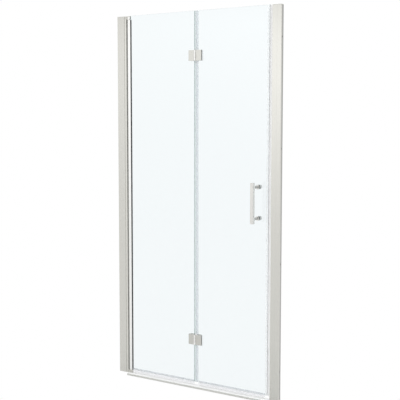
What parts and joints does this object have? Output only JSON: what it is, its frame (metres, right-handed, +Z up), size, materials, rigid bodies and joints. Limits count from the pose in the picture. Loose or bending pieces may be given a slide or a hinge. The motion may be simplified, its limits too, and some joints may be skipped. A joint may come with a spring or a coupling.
{
  "type": "bifold shower door",
  "caption": "Inward-folding alcove shower door: clear glass panels on pivots and fold hinges, between wall channels, with a bar handle, seals and a threshold.",
  "frame": {"origin": "the middle of the hinge side wall channel's wall face, midway between its wall screw holes, in the plane of the glass", "axes": "+X along the opening from the hinge side wall to the strike side wall, -Y the outside of the shower, +Y the inside, +Z up"},
  "size_m": [0.931, 0.083, 1.824],
  "materials": {
    "frame_metal": "brushed nickel finish",
    "threshold_metal": "satin",
    "stile_metal": "satin",
    "block_metal": "brushed nickel finish",
    "hinge_metal": "brushed nickel finish",
    "handle_metal": "brushed nickel finish",
    "pin_steel": "ground",
    "screw_steel": "bright",
    "cover_plastic": "satin",
    "bush_nylon": "natural",
    "panel_glass": "clear toughened, polished edges",
    "clear_seal": "clear flexible",
    "white_seal": "matt",
    "grey_rubber": "matt",
    "black_rubber": "matt"
  },
  "bodies": {
    "frame": {"wall_channel_hinge_side": "frame_metal", "wall_channel_strike_side": "frame_metal", "hinge_post": "frame_metal", "strike_post": "frame_metal", "top_pivot_block": "block_metal", "bottom_pivot_block": "block_metal", "top_pivot_pin": "pin_steel", "bottom_pivot_pin": "pin_steel", "thrust_washer": "bush_nylon", "hinge_post_gasket": "grey_rubber", "hinge_side_top_cap": "frame_metal", "strike_side_top_cap": "frame_metal", "strike_magnet_carrier": "white_seal", "strike_magnet": "white_seal", "threshold": "threshold_metal", "threshold_end_plates": "threshold_metal", "hinge_side_fixing_screws": "screw_steel", "strike_side_fixing_screws": "screw_steel", "hinge_side_screw_covers": "cover_plastic", "strike_side_screw_covers": "cover_plastic", "pivot_block_screws": "screw_steel"},
    "inner_panel": {"pivot_stile": "stile_metal", "stile_glazing_gasket": "grey_rubber", "inner_glass": "panel_glass", "top_pivot_bush": "bush_nylon", "bottom_pivot_bush": "bush_nylon", "upper_hinge_inner_leaf": "hinge_metal", "lower_hinge_inner_leaf": "hinge_metal", "upper_hinge_inner_back_plate": "hinge_metal", "lower_hinge_inner_back_plate": "hinge_metal", "inner_hinge_pads": "grey_rubber", "inner_hinge_screws": "screw_steel", "upper_hinge_pin": "pin_steel", "lower_hinge_pin": "pin_steel", "inner_bottom_seal": "clear_seal"},
    "leading_panel": {"leading_glass": "panel_glass", "upper_hinge_leading_leaf": "hinge_metal", "lower_hinge_leading_leaf": "hinge_metal", "upper_hinge_leading_back_plate": "hinge_metal", "lower_hinge_leading_back_plate": "hinge_metal", "leading_hinge_pads": "grey_rubber", "leading_hinge_screws": "screw_steel", "hinge_bushes": "bush_nylon", "fold_seal": "clear_seal", "leading_bottom_seal": "clear_seal", "magnetic_seal": "clear_seal", "leading_magnet": "white_seal", "handle_bar": "handle_metal", "handle_posts": "handle_metal", "handle_rosettes": "handle_metal", "handle_spacers": "black_rubber", "handle_glass_sleeves": "black_rubber", "handle_back_washers": "bush_nylon", "handle_back_caps": "handle_metal", "handle_studs": "pin_steel"}
  },
  "joints": [
    {"name": "inner_panel_swing", "type": "hinge", "parent": "frame", "child": "inner_panel", "pos_m": [0.065, 0, 0], "axis": [0, 0, 1], "range_deg": [0, 90]},
    {"name": "leading_panel_fold", "type": "hinge", "parent": "inner_panel", "child": "leading_panel", "pos_m": [0.4685, -0.012, 0], "axis": [0, 0, 1], "range_deg": [-168, 0]}
  ]
}
